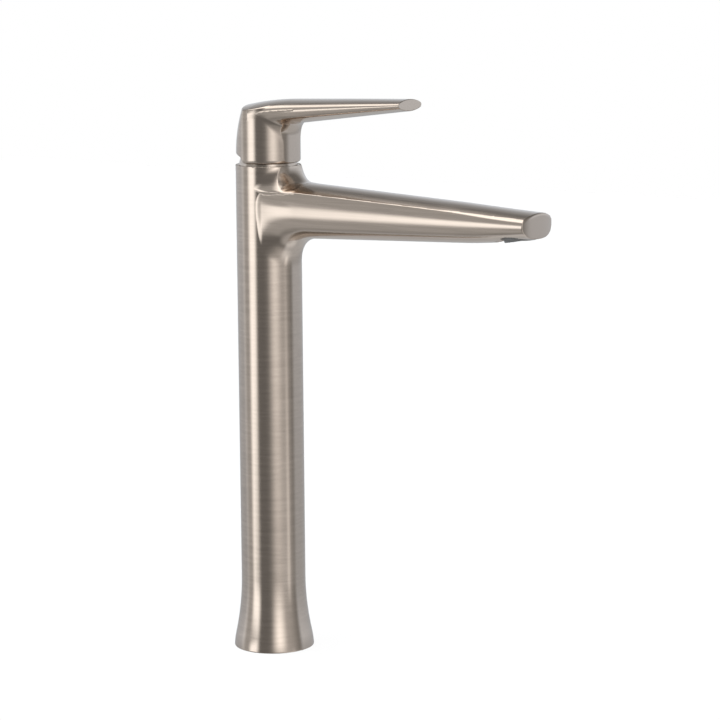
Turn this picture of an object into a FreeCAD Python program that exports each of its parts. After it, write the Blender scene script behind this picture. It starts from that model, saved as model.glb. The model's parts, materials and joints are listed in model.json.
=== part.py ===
import FreeCAD, Part

import math
import os
import re

import Sketcher

# Tall single-lever basin mixer. Millimetres, +Z up. The origin is the centre of the foot's
# face on the deck, and the spout and the lever point along +X.

SIZES = [
    # column and foot
    ("column_height", 303.0),
    ("column_radius", 20.0),
    ("column_wall", 4.0),
    ("foot_radius", 25.0),
    ("flare_height", 45.0),
    ("flare_upper_radius", 175.0),
    ("flare_lower_radius", 60.0),
    ("rim_land", 0.6),
    ("rim_depth", 1.5),
    # spout
    ("spout_start", 4.0),
    ("spout_reach", 194.0),
    ("spout_root_width", 19.2),
    ("spout_tip_width", 16.5),
    ("spout_drop", 8.3),
    ("spout_depth", 36.6),
    ("spout_fall", 10.05),
    ("spout_rise", 7.76),
    ("spout_girth_drop", 25.6),
    ("spout_crease_drop", 13.0),
    ("spout_crease_fall", 9.35),
    ("tip_lift", 3.34),
    ("tip_length", 52.0),
    ("tip_plan_radius", 60.0),
    ("tip_edge", 0.5),
    ("tip_overrun", 6.5),
    ("spout_blend", 9.5),
    ("spout_wall", 2.2),
    ("tip_wall", 3.5),
    # cartridge pocket and waterways
    ("pocket_radius", 12.9),
    ("pocket_depth", 31.0),
    ("pocket_floor", 14.0),
    ("nut_thread_radius", 15.0),
    ("inlet_radius", 4.5),
    ("inlet_thread_depth", 11.0),
    ("port_radius", 2.4),
    ("inlet_back", 4.8),
    ("inlet_spread", 6.2),
    ("outlet_ahead", 6.0),
    ("outlet_radius", 3.0),
    ("outlet_drop", 6.0),
    # foot pieces
    ("insert_height", 12.0),
    ("insert_lift", 2.0),
    ("stud_hole_radius", 3.4),
    ("stud_offset", 11.0),
    ("hose_hole_radius", 9.3),
    ("hose_hole_offset", 4.5),
    ("seal_outer_radius", 23.0),
    ("seal_inner_radius", 19.0),
    ("seal_height", 1.8),
    # cartridge
    ("housing_radius", 12.6),
    ("housing_bore", 11.2),
    ("neck_radius", 9.6),
    ("guide_bore", 7.6),
    ("guide_slot_back", 6.6),
    ("guide_slot_front", 4.8),
    ("seal_stand", 0.3),
    ("flange_height", 3.2),
    ("plug_height", 1.5),
    ("disc_height", 3.0),
    ("disc_radius", 10.6),
    ("slider_radius", 8.4),
    ("carrier_height", 6.0),
    ("carrier_plate", 3.2),
    ("carrier_boss_radius", 5.0),
    ("carrier_gap", 1.0),
    ("disc_recess_radius", 5.2),
    ("guide_flange", 3.0),
    ("guide_play", 0.4),
    ("shoulder_height", 4.0),
    ("neck_height", 11.0),
    ("guide_proud", 0.5),
    ("port_seal_radius", 3.6),
    ("port_seal_bore", 2.6),
    ("port_seal_height", 1.2),
    ("ring_groove_depth", 0.95),
    ("ring_groove_height", 1.4),
    ("ring_groove_top", 0.4),
    ("washer_height", 0.4),
    ("nut_hex", 26.0),
    ("nut_head", 5.5),
    # stem
    ("pivot_depth", 3.0),
    ("pin_radius", 1.5),
    ("pin_inset", 0.8),
    ("stem_arm", 14.2),
    ("stem_rest_angle", 9.7),
    ("stem_ball_radius", 2.6),
    ("stem_arm_radius", 1.9),
    ("stem_thickness", 6.0),
    ("stem_square", 8.0),
    ("stem_top", 29.0),
    ("stem_collar", 11.0),
    ("stem_block", 4.0),
    # cover, handle and lever
    ("dome_radius", 18.2),
    ("dome_wall", 1.2),
    ("dome_opening", 11.5),
    ("handle_gap", 1.4),
    ("handle_top", 39.85),
    ("handle_ceiling", 52.0),
    ("lever_slope", 3.41),
    ("hub_arc_start", 22.0),
    ("hub_arc_radius", 190.0),
    ("lever_crown", 3.4),
    ("lever_tip_crown", 2.1),
    ("lever_girth", 3.6),
    ("lever_tip_girth", 1.5),
    ("lever_reach", 105.0),
    ("lever_root_width", 17.3),
    ("lever_root", 10.0),
    ("lever_tip_width", 12.2),
    ("lever_root_depth", 17.5),
    ("lever_tip_depth", 7.8),
    ("lever_blend", 6.5),
    ("front_radius", 30.0),
    ("front_flat", 0.6),
    ("panel_radius", 21.0),
    ("panel_offset", 1.8),
    ("panel_lean", 10.7),
    ("panel_flattening", 5.0),
    ("panel_start", 7.0),
    ("panel_height", 26.0),
    ("skirt_chamfer", 1.9),
    ("cutout_front", 4.5),
    ("cutout_step", 7.5),
    ("cutout_low", 5.3),
    ("cutout_high", 8.7),
    ("hub_bore", 12.5),
    ("hub_bore_top", 30.0),
    ("socket_boss", 7.4),
    ("socket_boss_start", 16.0),
    ("screw_level", 22.0),
    ("screw_radius", 2.5),
    ("screw_length", 8.0),
    ("screw_rib", 9.0),
    ("screw_socket", 1.4),
    ("screw_socket_depth", 2.5),
    ("plug_radius", 3.0),
    ("plug_length", 2.6),
    # aerator
    ("outlet_setback", 14.5),
    ("aerator_bore", 10.75),
    ("aerator_depth", 8.2),
    ("throat_radius", 8.6),
    ("ring_recess", 1.3),
    ("ring_split", 0.1),
    ("aerator_seal_height", 1.0),
    ("ball_radius", 9.2),
    ("ball_rise", 3.6),
    ("ball_face_drop", 3.5),
    ("ball_top_rise", 2.6),
    ("ball_tilt", 10.0),
    ("ball_bore", 7.0),
    ("ball_fit", 0.15),
    ("grid_height", 1.6),
    ("grid_bar", 0.7),
    ("grid_pitch", 2.3),
    ("grid_inset", 0.3),
    ("screen_height", 0.8),
    ("screen_hole_ring", 5.0),
    ("screen_hole_radius", 0.7),
    ("screen_hole_count", 12),
    # clearances, and how far a cutting form runs past what it cuts
    ("fit_clearance", 0.1),
    ("slide_clearance", 0.1),
    ("turn_clearance", 0.3),
    ("overshoot", 1.0),
]

document = FreeCAD.newDocument("BasinMixer")
sheet = document.addObject("Spreadsheet::Sheet", "Sizes")
for row, (alias, value) in enumerate(SIZES, start=1):
    sheet.set("A%d" % row, alias)
    sheet.set("B%d" % row, str(value))
    sheet.setAlias("B%d" % row, alias)
document.recompute()

ALIASES = re.compile(r"\b(%s)\b" % "|".join(alias for alias, _ in SIZES))
PARTS = []
# How near, in millimetres, a point must be to count as lying on a face.
CLOSE = 0.02
# How square the troughs of the spout's and the lever's sections are, where 2 is an ellipse.
SPOUT_SQUARENESS = 2.35
LEVER_SQUARENESS = 2.2
# Width at the sharp top edges as a share of the full width, which lies lower down.
CREASE_SHARE = 0.9


def size(alias):
    """One driving dimension, as a plain number."""
    return float(getattr(sheet, alias))


def cells(text):
    """The same formula with each alias written as a cell of the sheet."""
    return ALIASES.sub(lambda match: "Sizes." + match.group(1), text)


def number(text):
    """The value of a formula of aliases."""
    return float(sheet.evalExpression(cells(text)))


# Levels and places that several pieces share, as formulas of the driving dimensions.
RIM = "column_height"
SHELF = "(column_height - rim_depth)"
PIVOT = "(column_height - pivot_depth)"
FLOOR = "(column_height - pocket_depth)"
FLOOR_UNDER = "(column_height - pocket_depth - pocket_floor)"
BASE_LOW = "(column_height - pocket_depth + seal_stand)"
FLANGE_TOP = "(column_height - pocket_depth + seal_stand + flange_height)"
DISC_LOW = "(column_height - pocket_depth + seal_stand + flange_height + plug_height)"
DISC_MID = "(%s + disc_height)" % DISC_LOW
DISC_TOP = "(%s + 2 * disc_height)" % DISC_LOW
CARRIER_TOP = "(%s + carrier_height)" % DISC_TOP
GUIDE_LOW = "(%s + carrier_gap)" % CARRIER_TOP
GUIDE_SHOULDER = "(%s + guide_flange)" % GUIDE_LOW
HOUSING_SHOULDER = "(%s + shoulder_height)" % GUIDE_SHOULDER
NECK_TOP = "(%s + neck_height)" % HOUSING_SHOULDER
GUIDE_TOP = "(%s + guide_proud)" % NECK_TOP
NUT_LOW = "(%s + washer_height)" % HOUSING_SHOULDER
INSERT_TOP = "(insert_lift + insert_height)"
SLIDER_BACK = "(-stem_arm * sin(stem_rest_angle * 1 deg))"
OUTLET_AT = "(spout_reach - outlet_setback)"
TIP_RIM = (
    "(column_height - spout_drop - spout_depth + spout_rise * %s / spout_reach"
    " + tip_lift * ((tip_length - outlet_setback) / tip_length) ^ 2)" % OUTLET_AT
)
LEDGE = "(%s + aerator_depth)" % TIP_RIM
BALL_CENTRE = "(%s + ball_rise)" % TIP_RIM
SCREW_AXIS = "(column_height + screw_level)"
PANEL_SHARE = "((screw_level - panel_start) / panel_height) ^ 2"
PANEL_BACK = (
    "(panel_offset - panel_radius + (panel_lean - panel_flattening) * %s)" % PANEL_SHARE
)
STEM_FACE = "(-stem_square / 2 - fit_clearance)"
COLUMN_BORE = "(column_radius - column_wall)"


# ---------------------------------------------------------------- document helpers

def keep(item, name):
    """Give a finished sub-part its name and list it for the export."""
    item.Label = name
    PARTS.append(item)
    return item


def bind(item, **formulas):
    """Bind each property of an object to its formula."""
    for prop, formula in formulas.items():
        item.setExpression(prop, cells(formula))
    return item


def place(item, along="0", across="0", level="0"):
    """Bind where an object stands."""
    for axis, formula in (("x", along), ("y", across), ("z", level)):
        if formula != "0":
            item.setExpression("Placement.Base." + axis, cells(formula))
    return item


def cylinder(name, radius, height, along="0", across="0", level="0"):
    item = document.addObject("Part::Cylinder", name)
    bind(item, Radius=radius, Height=height)
    return place(item, along, across, level)


def box(name, length, width, height, along="0", across="0", level="0"):
    """A box centred across Y, from its low X and Z corner."""
    item = document.addObject("Part::Box", name)
    bind(item, Length=length, Width=width, Height=height)
    return place(item, along, "%s - (%s) / 2" % (across, width), level)


def sphere(name, radius, level, along="0"):
    item = document.addObject("Part::Sphere", name)
    bind(item, Radius=radius)
    return place(item, along, "0", level)


def fuse(name, *items):
    item = document.addObject("Part::MultiFuse", name)
    item.Shapes = list(items)
    return item


def common(name, *items):
    item = document.addObject("Part::MultiCommon", name)
    item.Shapes = list(items)
    return item


def cut(name, base, *tools):
    item = document.addObject("Part::Cut", name)
    item.Base = base
    item.Tool = tools[0] if len(tools) == 1 else fuse(name + "_tools", *tools)
    return item


def shaped(name, shape):
    """An object whose shape is worked out by a function."""
    item = document.addObject("Part::Feature", name)
    item.Shape = shape
    return item


def origin_plane(body, role):
    return next(plane for plane in body.Origin.OriginFeatures if plane.Role == role)


def outline(body, name, corners, role="XZ_Plane"):
    """A closed sketch whose every corner is bound to a pair of formulas."""
    sketch = body.newObject("Sketcher::SketchObject", name)
    sketch.AttachmentSupport = (origin_plane(body, role), "")
    sketch.MapMode = "FlatFace"
    points = [FreeCAD.Vector(number(along), number(up), 0) for along, up in corners]
    count = len(points)
    for index in range(count):
        sketch.addGeometry(Part.LineSegment(points[index], points[(index + 1) % count]), False)
    for index in range(count):
        sketch.addConstraint(Sketcher.Constraint("Coincident", index, 2, (index + 1) % count, 1))
    for index, (along, up) in enumerate(corners):
        rows = (("DistanceX", along, points[index].x), ("DistanceY", up, points[index].y))
        for kind, formula, value in rows:
            row = sketch.addConstraint(Sketcher.Constraint(kind, -1, 1, index, 1, value))
            sketch.setExpression("Constraints[%d]" % row, cells(formula))
    return sketch


def turned(name, corners):
    """A body turned about the Z axis from a half section of (radius, height) corners."""
    body = document.addObject("PartDesign::Body", name)
    sketch = outline(body, name + "_section", corners)
    turn = body.newObject("PartDesign::Revolution", name + "_turn")
    turn.Profile = sketch
    turn.ReferenceAxis = (sketch, ["V_Axis"])
    turn.Angle = 360.0
    sketch.Visibility = False
    return body


def circles(body, name, spots):
    """A sketch of circles, each bound to formulas for its centre and radius."""
    sketch = body.newObject("Sketcher::SketchObject", name)
    sketch.AttachmentSupport = (origin_plane(body, "XY_Plane"), "")
    sketch.MapMode = "FlatFace"
    for index, (along, across, radius) in enumerate(spots):
        centre = FreeCAD.Vector(number(along), number(across), 0)
        sketch.addGeometry(Part.Circle(centre, FreeCAD.Vector(0, 0, 1), number(radius)), False)
        rows = (("DistanceX", along, centre.x), ("DistanceY", across, centre.y))
        for kind, formula, value in rows:
            row = sketch.addConstraint(Sketcher.Constraint(kind, -1, 1, index, 3, value))
            sketch.setExpression("Constraints[%d]" % row, cells(formula))
        row = sketch.addConstraint(Sketcher.Constraint("Radius", index, number(radius)))
        sketch.setExpression("Constraints[%d]" % row, cells(radius))
    return sketch


def drill(body, name, spots):
    """Round holes right through a body, along Z."""
    sketch = circles(body, name + "_spots", spots)
    pocket = body.newObject("PartDesign::Pocket", name)
    pocket.Profile = sketch
    pocket.Type = "ThroughAll"
    pocket.Midplane = True
    sketch.Visibility = False
    return pocket


def ring(name, outer, inner, low, height):
    """A plain ring with square corners."""
    high = "%s + %s" % (low, height)
    return turned(name, [(inner, low), (outer, low), (outer, high), (inner, high)])


def upright_ring(name, outer, inner, along, across, low, height):
    """A plain ring about an upright axis of its own."""
    solid = cylinder(name + "_solid", outer, height, along, across, low)
    hole = cylinder(name + "_hole", inner, height, along, across, low)
    return cut(name, solid, hole)


# ---------------------------------------------------------------- shapes of the castings

def flank(place_x, half_width, girth, edge, side, steps=4):
    """The leaning side of a limb, from its widest line up to its sharp top edge."""
    reach = math.sqrt(1 - CREASE_SHARE ** 2)
    points = []
    for step in range(steps + 1):
        share = reach * step / steps
        across = side * half_width * math.sqrt(1 - share ** 2)
        points.append(FreeCAD.Vector(place_x, across, girth + (edge - girth) * step / steps))
    return points


def trough(place_x, half_width, girth, edge, bottom, squareness, steps=12):
    """A limb's belly and sides as one curve, open upwards, with its two ends."""
    points = flank(place_x, half_width, girth, edge, 1)[:0:-1]
    for step in range(steps + 1):
        angle = math.pi * step / steps
        across = math.copysign(abs(math.cos(angle)) ** (2 / squareness), math.cos(angle))
        down = abs(math.sin(angle)) ** (2 / squareness)
        points.append(FreeCAD.Vector(place_x, half_width * across, girth - (girth - bottom) * down))
    points += flank(place_x, half_width, girth, edge, -1)[1:]
    curve = Part.BSplineCurve()
    curve.interpolate(Points=points)
    return curve.toShape(), points[0], points[-1]


def arch(place_x, half_width, edge, crown):
    """A shallow arch across X."""
    return Part.Arc(
        FreeCAD.Vector(place_x, -half_width, edge),
        FreeCAD.Vector(place_x, 0, crown),
        FreeCAD.Vector(place_x, half_width, edge),
    ).toShape()


def chain(corners):
    """Straight edges from each corner to the next."""
    return [Part.LineSegment(start, end).toShape() for start, end in zip(corners, corners[1:])]


def stations(start, end, steps):
    """Evenly spaced places from a start to an end."""
    return [start + (end - start) * step / (steps - 1) for step in range(steps)]


def spout_top(place_x):
    return size("column_height") - size("spout_drop") - size("spout_fall") * place_x / size("spout_reach")


def spout_bottom(place_x):
    """Height of the spout's underside, which sweeps up near the tip."""
    start = size("spout_reach") - size("tip_length")
    straight = size("column_height") - size("spout_drop") - size("spout_depth")
    straight += size("spout_rise") * place_x / size("spout_reach")
    return straight + size("tip_lift") * (max(0.0, place_x - start) / size("tip_length")) ** 2


def spout_half_width(place_x):
    root, tip = size("spout_root_width"), size("spout_tip_width")
    return root + (tip - root) * place_x / size("spout_reach")


def spout_crease(place_x):
    """Height of the spout's sharp top edges."""
    fall = size("spout_crease_fall") * place_x / size("spout_reach")
    return size("column_height") - size("spout_crease_drop") - fall


def spout_loft(start, end, inset, steps=8):
    """The spout's form, drawn in by the given wall."""
    girth = size("column_height") - size("spout_girth_drop")
    sections = []
    for place_x in stations(start, end, steps):
        half_width = spout_half_width(place_x) - inset
        edge = spout_crease(place_x) - inset
        bottom = spout_bottom(place_x) + inset
        belly, left, _ = trough(place_x, half_width, girth, edge, bottom, SPOUT_SQUARENESS)
        sections.append(Part.Wire([arch(place_x, left.y, edge, spout_top(place_x) - inset), belly]))
    return Part.makeLoft(sections, True, False)


def tip_cutter(reach, plan_radius):
    """What lies past the end of the spout, which is an arc in plan."""
    low = spout_bottom(reach) - size("spout_depth")
    height = spout_top(reach) + size("spout_depth") - low
    corner = FreeCAD.Vector(reach - plan_radius / 2, -plan_radius, low)
    block = Part.makeBox(plan_radius, 2 * plan_radius, height, corner)
    barrel = Part.makeCylinder(plan_radius, height, FreeCAD.Vector(reach - plan_radius, 0, low))
    return block.cut(barrel)


def flare_centres():
    """The centres of the flare's two arcs, and where they meet, as (radius, height) pairs."""
    upper = (size("column_radius") + size("flare_upper_radius"), size("flare_height"))
    reach = size("flare_upper_radius") + size("flare_lower_radius")
    across, down = size("foot_radius") - upper[0], -upper[1]
    gap = math.hypot(across, down)
    along = (reach ** 2 - size("flare_lower_radius") ** 2 + gap ** 2) / (2 * gap)
    aside = math.sqrt(reach ** 2 - along ** 2)
    lower = (
        upper[0] + (along * across + aside * down) / gap,
        upper[1] + (along * down - aside * across) / gap,
    )
    share = size("flare_upper_radius") / reach
    meeting = (upper[0] + (lower[0] - upper[0]) * share, upper[1] + (lower[1] - upper[1]) * share)
    return upper, lower, meeting


def section_point(pair):
    """A (radius, height) pair as a point in the half section."""
    return FreeCAD.Vector(pair[0], 0, pair[1])


def arc_between(centre, radius, start, end):
    """The short arc about a centre, from one (radius, height) pair to another."""
    middle = (section_point(start) + section_point(end)) * 0.5 - section_point(centre)
    middle.normalize()
    crest = section_point(centre) + middle * radius
    return Part.Arc(section_point(start), crest, section_point(end)).toShape()


def column_solid():
    """Column, rim and flared foot, turned about Z."""
    upper, lower, meeting = flare_centres()
    radius, height = size("column_radius"), size("column_height")
    foot, shelf = (size("foot_radius"), 0.0), height - size("rim_depth")
    land = radius - size("rim_land")
    edges = [
        arc_between(lower, size("flare_lower_radius"), foot, meeting),
        arc_between(upper, size("flare_upper_radius"), meeting, (radius, size("flare_height"))),
    ]
    corners = [
        (radius, size("flare_height")),
        (radius, height),
        (land, height),
        (size("dome_radius"), shelf),
        (0.0, shelf),
        (0.0, 0.0),
        foot,
    ]
    edges += chain([section_point(corner) for corner in corners])
    face = Part.Face(Part.Wire(Part.__sortEdges__(edges)))
    return face.revolve(FreeCAD.Vector(0, 0, 0), FreeCAD.Vector(0, 0, 1), 360)


def edges_where(shape, test):
    """Edges of a shape on which every one of a few points passes a test."""
    found = []
    for edge in shape.Edges:
        places = stations(edge.FirstParameter, edge.LastParameter, 5)
        if all(test(edge.valueAt(place)) for place in places):
            found.append(edge)
    return found


def root_edges(shape, radius, low, high, centre=0.0):
    """Edges where a limb leaves an upright cylinder, ahead of the axis."""

    def on_root(point):
        on_face = abs(math.hypot(point.x - centre, point.y) - radius) < CLOSE
        return on_face and low < point.z < high and point.x > 0

    edges = edges_where(shape, on_root)
    return [edge for edge in edges if edge.BoundBox.ZLength > CLOSE]


def body_outside():
    """Column and spout with their blends."""
    reach, plan_radius = size("spout_reach"), size("tip_plan_radius")
    spout = spout_loft(size("spout_start"), reach + size("tip_overrun"), 0.0)
    spout = spout.cut(tip_cutter(reach, plan_radius))
    body = column_solid().fuse(spout)
    low = spout_bottom(0.0) - size("spout_blend")
    high = size("column_height") - size("overshoot")
    roots = root_edges(body, size("column_radius"), low, high)
    body = body.makeFillet(size("spout_blend"), roots)

    def on_tip(point):
        from_centre = math.hypot(point.x - reach + plan_radius, point.y)
        return abs(from_centre - plan_radius) < CLOSE and point.x > reach / 2

    return body.makeFillet(size("tip_edge"), edges_where(body, on_tip))


def spout_hollow():
    """The waterway in the spout, round the boss that holds the outlet."""
    start = size("pocket_radius") + size("spout_wall") + size("overshoot")
    hollow = spout_loft(start, size("spout_reach") + size("tip_overrun"), size("spout_wall"))
    hollow = hollow.cut(tip_cutter(size("spout_reach") - size("tip_wall"), size("tip_plan_radius")))
    foot = FreeCAD.Vector(number(OUTLET_AT), 0, number(TIP_RIM) - size("spout_wall"))
    height = size("aerator_depth") + 1.5 * size("spout_wall")
    boss = Part.makeCylinder(size("aerator_bore") + size("spout_wall"), height, foot)
    return hollow.cut(boss)


def handle_top_at(place_x):
    """Height of the handle's crown along its middle: an arc over the hub, then straight."""
    start = size("hub_arc_start")
    rise = size("lever_slope") * place_x / size("lever_reach")
    dip = max(0.0, start - place_x) ** 2 / (2 * size("hub_arc_radius"))
    return size("column_height") + size("handle_top") + rise - dip


def lever_half_width(place_x):
    share = (place_x - size("lever_root")) / (size("lever_reach") - size("lever_root"))
    return size("lever_root_width") + (size("lever_tip_width") - size("lever_root_width")) * share


def lever_bottom(place_x):
    share = place_x / size("lever_reach")
    depth = size("lever_root_depth") + (size("lever_tip_depth") - size("lever_root_depth")) * share
    return size("column_height") + size("handle_top") + size("lever_slope") * share - depth


def lever_crease(place_x):
    """Height of the handle's sharp top edges."""
    share = max(0.0, place_x) / size("lever_reach")
    root, tip = size("lever_crown"), size("lever_tip_crown")
    return handle_top_at(place_x) - root - (tip - root) * share


def lever_section(place_x, ceiling):
    """A trough-shaped section of the lever, carried straight up past its final top."""
    half_width = lever_half_width(place_x)
    edge = lever_crease(place_x)
    share = place_x / size("lever_reach")
    drop = size("lever_girth") + (size("lever_tip_girth") - size("lever_girth")) * share
    girth = edge - drop
    bottom = lever_bottom(place_x)
    belly, left, right = trough(place_x, half_width, girth, edge, bottom, LEVER_SQUARENESS)
    right_top = FreeCAD.Vector(place_x, right.y, ceiling)
    left_top = FreeCAD.Vector(place_x, left.y, ceiling)
    return Part.Wire([belly] + chain([right, right_top, left_top, left]))


def handle_roof(ceiling, steps=9, spread=1.3):
    """All that lies above the handle's crowned top, from behind the hub to past the tip."""
    sections = []
    for place_x in stations(-1.5 * size("column_radius"), 1.1 * size("lever_reach"), steps):
        width = spread * CREASE_SHARE * lever_half_width(max(place_x, 0.0))
        crown = handle_top_at(place_x)
        edge = crown - (crown - lever_crease(place_x)) * spread ** 2
        sides = chain([
            FreeCAD.Vector(place_x, width, edge),
            FreeCAD.Vector(place_x, width, ceiling),
            FreeCAD.Vector(place_x, -width, ceiling),
            FreeCAD.Vector(place_x, -width, edge),
        ])
        sections.append(Part.Wire([arch(place_x, width, edge, crown)] + sides))
    return Part.makeLoft(sections, True, False)


def rear_panel_form(steps=6):
    """An upright form whose circles lean forward and flatten towards the top."""
    low = size("column_height")
    wires = []
    for level in stations(low, low + size("handle_ceiling") + size("overshoot"), steps):
        rise = max(0.0, level - low - size("panel_start")) / size("panel_height")
        centre = FreeCAD.Vector(size("panel_offset") + size("panel_lean") * rise ** 2, 0, level)
        radius = size("panel_radius") + size("panel_flattening") * rise ** 2
        wires.append(Part.Wire([Part.makeCircle(radius, centre)]))
    return Part.makeLoft(wires, True, False)


def hub_form(low, height):
    """The handle's upright part: nearly round, with a flatter front and a leaning rear panel."""
    radius = size("column_radius")
    front_centre = FreeCAD.Vector(radius - size("front_flat") - size("front_radius"), 0, low)
    foot = FreeCAD.Vector(0, 0, low)
    skirt = radius - size("skirt_chamfer")
    hub = Part.makeCylinder(radius, height, foot)
    hub = hub.common(Part.makeCylinder(size("front_radius"), height, front_centre))
    hub = hub.common(rear_panel_form())
    return hub.common(Part.makeCone(skirt, skirt + height, height, foot))


def handle_outside(lever_steps=5):
    """Hub and lever with their crown, blends and rear panel."""
    radius, reach = size("column_radius"), size("lever_reach")
    margin = size("overshoot")
    low = size("column_height") + size("handle_gap")
    ceiling = size("column_height") + size("handle_ceiling")
    places = stations(size("lever_root") - margin, reach, lever_steps)
    lever = Part.makeLoft([lever_section(place, ceiling + margin) for place in places], True, False)
    corner = FreeCAD.Vector(0, -2 * radius, ceiling)
    lever = lever.cut(Part.makeBox(reach + radius, 4 * radius, radius, corner))
    handle = hub_form(low, ceiling - low).fuse(lever)
    above = low + size("lever_blend")
    front_centre = radius - size("front_flat") - size("front_radius")
    roots = root_edges(handle, radius, above, ceiling)
    roots += root_edges(handle, size("front_radius"), above, ceiling, front_centre)
    handle = handle.makeFillet(size("lever_blend"), roots)
    return handle.cut(handle_roof(ceiling + 2 * margin))


# ---------------------------------------------------------------- castings

def make_body_shell():
    """Column, foot and spout: one hollow casting with the cartridge's pocket and the waterways."""
    outside = shaped("casting_outside", body_outside())
    hollow = shaped("spout_waterway", spout_hollow())
    inlets = []
    for side, sign in (("left", ""), ("right", "-")):
        across = sign + "inlet_spread"
        inlets.append(cylinder("inlet_thread_" + side, "inlet_radius", "inlet_thread_depth + overshoot",
                               "-inlet_back", across, FLOOR_UNDER + " - overshoot"))
        inlets.append(cylinder("inlet_port_" + side, "port_radius", "pocket_floor + overshoot",
                               "-inlet_back", across, FLOOR_UNDER))
    outlet = cylinder("outlet_port", "outlet_radius", "outlet_drop + overshoot",
                      "outlet_ahead", "0", FLOOR + " - outlet_drop")
    channel = cylinder("outlet_channel", "outlet_radius",
                       "pocket_radius + 3 * spout_wall - outlet_ahead")
    channel.Placement.Rotation = FreeCAD.Rotation(FreeCAD.Vector(0, 1, 0), 90)
    place(channel, "outlet_ahead", "0", FLOOR + " - outlet_drop")
    casting = cut(
        "body_shell_casting",
        outside,
        hollow,
        cylinder("column_hollow", COLUMN_BORE, FLOOR_UNDER + " + overshoot", level="-overshoot"),
        cylinder("cartridge_pocket", "pocket_radius", "pocket_depth + overshoot", level=FLOOR),
        cylinder("nut_thread", "nut_thread_radius", "pocket_depth", level=HOUSING_SHOULDER),
        cylinder("aerator_bore_tool", "aerator_bore + fit_clearance", "2 * aerator_depth",
                 OUTLET_AT, "0", LEDGE + " - 2 * aerator_depth"),
        cylinder("aerator_throat", "throat_radius", "aerator_depth", OUTLET_AT, "0",
                 LEDGE + " - overshoot"),
        outlet,
        channel,
        *inlets
    )
    groove_outer = cylinder("foot_groove_outer", "seal_outer_radius + fit_clearance",
                            "seal_height + fit_clearance + overshoot", level="-overshoot")
    groove_inner = cylinder("foot_groove_inner", "seal_inner_radius - fit_clearance",
                            "seal_height + 3 * overshoot", level="-2 * overshoot")
    groove = cut("foot_groove", groove_outer, groove_inner)
    keep(cut("body_shell", casting, groove), "body_shell")


def make_lever_handle():
    """Hub and lever: one casting, hollow over the dome, with the socket for the stem."""
    outside = shaped("handle_outside", handle_outside())
    room = fuse(
        "handle_room",
        sphere("handle_dome_room", "dome_radius + turn_clearance", PIVOT),
        cylinder("handle_bore", "hub_bore", "hub_bore_top", level=RIM),
    )
    boss = cylinder("socket_boss_form", "socket_boss", "hub_bore_top", level=RIM + " + socket_boss_start")
    rib = box("screw_rib_form", "hub_bore + overshoot", "screw_rib", "hub_bore_top",
              "-hub_bore - overshoot", "0", RIM + " + socket_boss_start")
    room = cut("handle_hollow", room, boss, rib)
    square = "stem_square + 2 * fit_clearance"
    socket = box("stem_socket", square, square, "stem_top + fit_clearance", "-(%s) / 2" % square, "0", PIVOT)
    screw_hole = cylinder("screw_hole", "screw_radius + fit_clearance / 2", "column_radius")
    screw_hole.Placement.Rotation = FreeCAD.Rotation(FreeCAD.Vector(0, 1, 0), 90)
    place(screw_hole, "-column_radius", "0", SCREW_AXIS)
    plug_hole = cylinder("plug_hole", "plug_radius + fit_clearance / 2", "column_radius")
    plug_hole.Placement.Rotation = FreeCAD.Rotation(FreeCAD.Vector(0, 1, 0), 90)
    place(plug_hole, PANEL_BACK + " + plug_length + 2 * fit_clearance - column_radius", "0", SCREW_AXIS)
    relief = document.addObject("PartDesign::Body", "skirt_relief")
    far, low = "-2 * column_radius", RIM + " - overshoot"
    high = RIM + " + cutout_high"
    sketch = outline(relief, "skirt_relief_section", [
        ("-cutout_front", low),
        ("-cutout_front", RIM + " + handle_gap"),
        ("-cutout_step", RIM + " + cutout_low"),
        ("-column_radius", high),
        (far, high),
        (far, low),
    ])
    pad = relief.newObject("PartDesign::Pad", "skirt_relief_pad")
    pad.Profile = sketch
    pad.Midplane = True
    pad.setExpression("Length", cells("4 * column_radius"))
    keep(cut("lever_handle", outside, room, socket, screw_hole, plug_hole, relief), "lever_handle")


# ---------------------------------------------------------------- foot

def make_foot():
    insert = turned("base_insert", [
        ("0", "insert_lift"),
        (COLUMN_BORE + " - slide_clearance", "insert_lift"),
        (COLUMN_BORE + " - slide_clearance", INSERT_TOP),
        ("0", INSERT_TOP),
    ])
    drill(insert, "insert_holes", [
        ("-stud_offset", "0", "stud_hole_radius"),
        ("hose_hole_offset", "0", "hose_hole_radius"),
    ])
    keep(insert, "base_insert")
    keep(ring("base_seal", "seal_outer_radius", "seal_inner_radius", "fit_clearance",
              "seal_height - fit_clearance"), "base_seal")


# ---------------------------------------------------------------- cartridge

INLET_SPOTS = [("-inlet_back", "inlet_spread"), ("-inlet_back", "-inlet_spread")]


def port_spots(radius):
    """The two inlets and the outlet, as circles for a drill."""
    return [(along, across, radius) for along, across in INLET_SPOTS + [("outlet_ahead", "0")]]


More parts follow.
